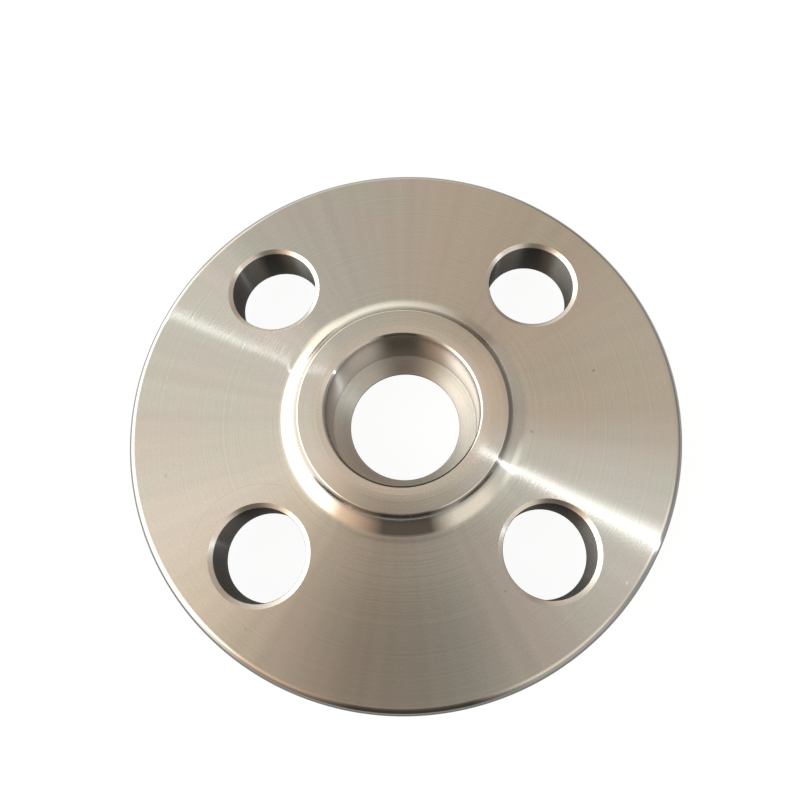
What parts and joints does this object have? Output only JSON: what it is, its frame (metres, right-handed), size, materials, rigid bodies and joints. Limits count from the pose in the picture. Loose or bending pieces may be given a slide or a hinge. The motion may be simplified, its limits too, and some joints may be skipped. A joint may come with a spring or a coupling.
{
  "type": "slip on flange",
  "caption": "Round raised-face pipe flange with a short hub, a stepped pipe socket and through bore, and chamfered bolt holes.",
  "frame": {"origin": "on the flange axis, at the underside of the raised gasket face that it rests on", "axes": "+Z along the flange axis from the gasket side towards the hub; +X midway between two bolt holes"},
  "size_m": [0.1, 0.1, 0.014],
  "materials": {
    "turned_steel": "fine-turned stainless steel, warm grey, with concentric tool lines on the faces"
  },
  "bodies": {
    "root": {"flange": "turned_steel"}
  },
  "joints": []
}
